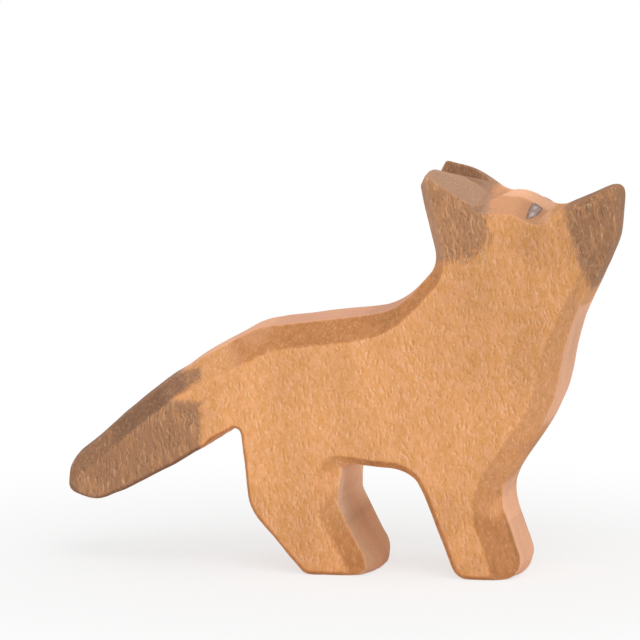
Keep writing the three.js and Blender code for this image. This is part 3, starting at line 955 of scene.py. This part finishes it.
def eye_material():
    tree = Tree(bpy.data.materials.new("eye_paint"))
    wash = tree.centred_noise(tree.stretched(tree.millimetres(), EYE_WASH_SIZE))
    line = tree.math("MULTIPLY_ADD", wash, EYE_WASH, tree.attribute("rim"))
    colour = tree.mix(tree.attribute("glint"), rgba(EYE_GREY), rgba(EYE_PAINTED_GLINT))
    colour = tree.mix(tree.step(line, *EYE_LINE_EDGE), colour, rgba(EYE_LINE))
    shader = tree.node("BsdfPrincipled", {"Base Color": colour})
    shader.inputs["Roughness"].default_value = EYE_ROUGHNESS
    return tree.finish(shader.outputs[0])


def eye_grid():
    """(places, rim, glint) of a grid over the eye's dab, seen along the brush."""
    steps = np.linspace(-1, 1, EYE_STEPS)
    along, across = (grid.ravel() for grid in np.meshgrid(steps, steps))
    rounding = 1 - EYE_ROUNDING * along**2 * across**2
    s, t = (along * rounding + 1) / 2, (across * rounding + 1) / 2
    upper_left, upper_right, lower_right, lower_left = np.array(EYE_CORNERS)
    upper = upper_left + np.outer(s, upper_right - upper_left)
    lower = lower_left + np.outer(s, lower_right - lower_left)
    places = lower + t[:, None] * (upper - lower)
    ways = (-along, across, along, -across)
    rim = np.max([strength * way for strength, way in zip(EYE_SIDES, ways)], axis=0)
    glints = [1 - np.hypot(along - a, across - b) / reach for a, b, reach in EYE_GLINTS]
    return places, rim, np.clip(np.max(glints, axis=0), 0, 1)


def dab_faces(row):
    """Faces of a closed dab made of two square grids of points, the upper one first."""
    count = row * row
    steps = range(row - 1)
    faces = []
    for i in steps:
        for j in steps:
            a = i * row + j
            quad = (a, a + 1, a + row + 1, a + row)
            faces.append(quad)
            faces.append(tuple(count + k for k in reversed(quad)))
    border = list(steps) + [i * row + row - 1 for i in steps]
    border += [count - 1 - i for i in steps] + [(row - 1 - i) * row for i in steps]
    for a, b in zip(border, border[1:] + border[:1]):
        faces.append((b, a, count + a, count + b))
    return faces


def eye_mesh(name, carving, side):
    """A thin dab that lies on the carved brow, on the dog's right (-1) or left (1)."""
    bm = bmesh.new()
    bm.from_mesh(carving)
    tree = BVHTree.FromBMesh(bm)
    bm.free()
    back = direction(*EYE_BRUSH)
    look = back.to_track_quat("Z", "Y")
    right, up = look @ Vector((1, 0, 0)), look @ Vector((0, 1, 0))
    places, rim, glint = eye_grid()
    mirror = Vector((1, -side, 1))
    under, over = [], []
    for (a, b), share in zip(places, rim):
        start = (Vector(EYE_MIDDLE) + right * a + up * b) * MM + back * (EYE_APPROACH * MM)
        wood, normal, _, _ = tree.ray_cast(start, -back)
        under.append((wood - normal * EYE_SINK * MM) * mirror)
        over.append((wood + normal * EYE_HEIGHT * (1 - share**EYE_CROWN) * MM) * mirror)
    mesh = bpy.data.meshes.new(name)
    mesh.from_pydata(over + under, [], dab_faces(EYE_STEPS))
    bm = bmesh.new()
    bm.from_mesh(mesh)
    bmesh.ops.recalc_face_normals(bm, faces=bm.faces)
    bm.to_mesh(mesh)
    bm.free()
    add_attribute(mesh, "rim", np.tile(rim, 2))
    add_attribute(mesh, "glint", np.tile(glint, 2))
    return mesh


def add_eyes(carving, material):
    for name, side in EYES.items():
        mesh = eye_mesh("painted_" + name, carving, side)
        mesh.materials.append(material)
        piece = link(bpy.data.objects.new("painted_" + name, mesh))
        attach(piece, "root")
        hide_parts(name)


def floor_material():
    """Pale, with shadows, near the dog, and plain white further away."""
    tree = Tree(bpy.data.materials.new("pale_floor"))
    diffuse = tree.node("BsdfDiffuse", {"Color": rgba(FLOOR_PALE)})
    white = tree.node("Emission", {"Color": rgba(WHITE), "Strength": 1.0})
    at = tree.node("TexCoord").outputs["Object"]
    distance = tree.node("VectorMath", {0: at}, operation="LENGTH").outputs["Value"]
    far = tree.step(distance, FLOOR_NEAR, FLOOR_FAR)
    share = tree.math("MULTIPLY_ADD", far, 1 - FLOOR_WHITE, FLOOR_WHITE)
    share = tree.math("MULTIPLY", share, tree.seen())
    shader = tree.node("MixShader", {0: share, 1: diffuse.outputs[0], 2: white.outputs[0]})
    return tree.finish(shader.outputs[0])


def add_floor():
    bm = bmesh.new()
    bmesh.ops.create_circle(bm, cap_ends=True, radius=FLOOR_RADIUS, segments=FLOOR_SIDES)
    mesh = bpy.data.meshes.new("floor")
    bm.to_mesh(mesh)
    bm.free()
    mesh.materials.append(floor_material())
    floor = link(bpy.data.objects.new("floor", mesh))


def add_lamp(name, azimuth, elevation, distance, size, power):
    data = bpy.data.lights.new(name, "AREA")
    data.size = size
    data.energy = power
    lamp = link(bpy.data.objects.new(name, data))
    back = direction(math.radians(azimuth), math.radians(elevation))
    lamp.location = back * distance
    lamp.rotation_mode = "QUATERNION"
    lamp.rotation_quaternion = back.to_track_quat("Z", "Y")


def add_light():
    tree = Tree(bpy.data.worlds.new("studio"))
    sockets = {"Value": tree.seen(), "To Min": AMBIENT, "To Max": 1.0}
    strength = tree.node("MapRange", sockets).outputs[0]
    background = tree.node("Background", {"Color": rgba(WHITE), "Strength": strength})
    bpy.context.scene.world = tree.finish(background.outputs[0], "OutputWorld")
    for name, lamp in LAMPS.items():
        add_lamp(name, *lamp)


def add_camera():
    back = direction(AZIMUTH, ELEVATION)
    look = (-back).to_track_quat("-Z", "Y")
    right, up = look @ Vector((1, 0, 0)), look @ Vector((0, 1, 0))
    target = Vector((0, 0, TARGET_HEIGHT))
    middle = target + right * (PICTURE / 2 - TARGET_PIXEL[0]) / PIXELS_PER_MM
    middle += up * (TARGET_PIXEL[1] - PICTURE / 2) / PIXELS_PER_MM
    place = target + back * DISTANCE
    data = bpy.data.cameras.new("camera")
    data.sensor_width = SENSOR
    data.lens = SENSOR * PIXELS_PER_MM * DISTANCE / PICTURE
    data.clip_start, data.clip_end = CLIP[0] * MM, CLIP[1] * MM
    camera = link(bpy.data.objects.new("camera", data))
    camera.location = place * MM
    camera.rotation_mode = "QUATERNION"
    camera.rotation_quaternion = (middle - place).to_track_quat("-Z", "Y")
    bpy.context.scene.camera = camera


bpy.context.scene.view_settings.view_transform = "Standard"
add_camera()
add_light()
add_floor()
seams = seams_from_frame()
carving = carved_dog(seams)
add_eyes(carving, eye_material())
add_wood(carving, seams, wood_material())
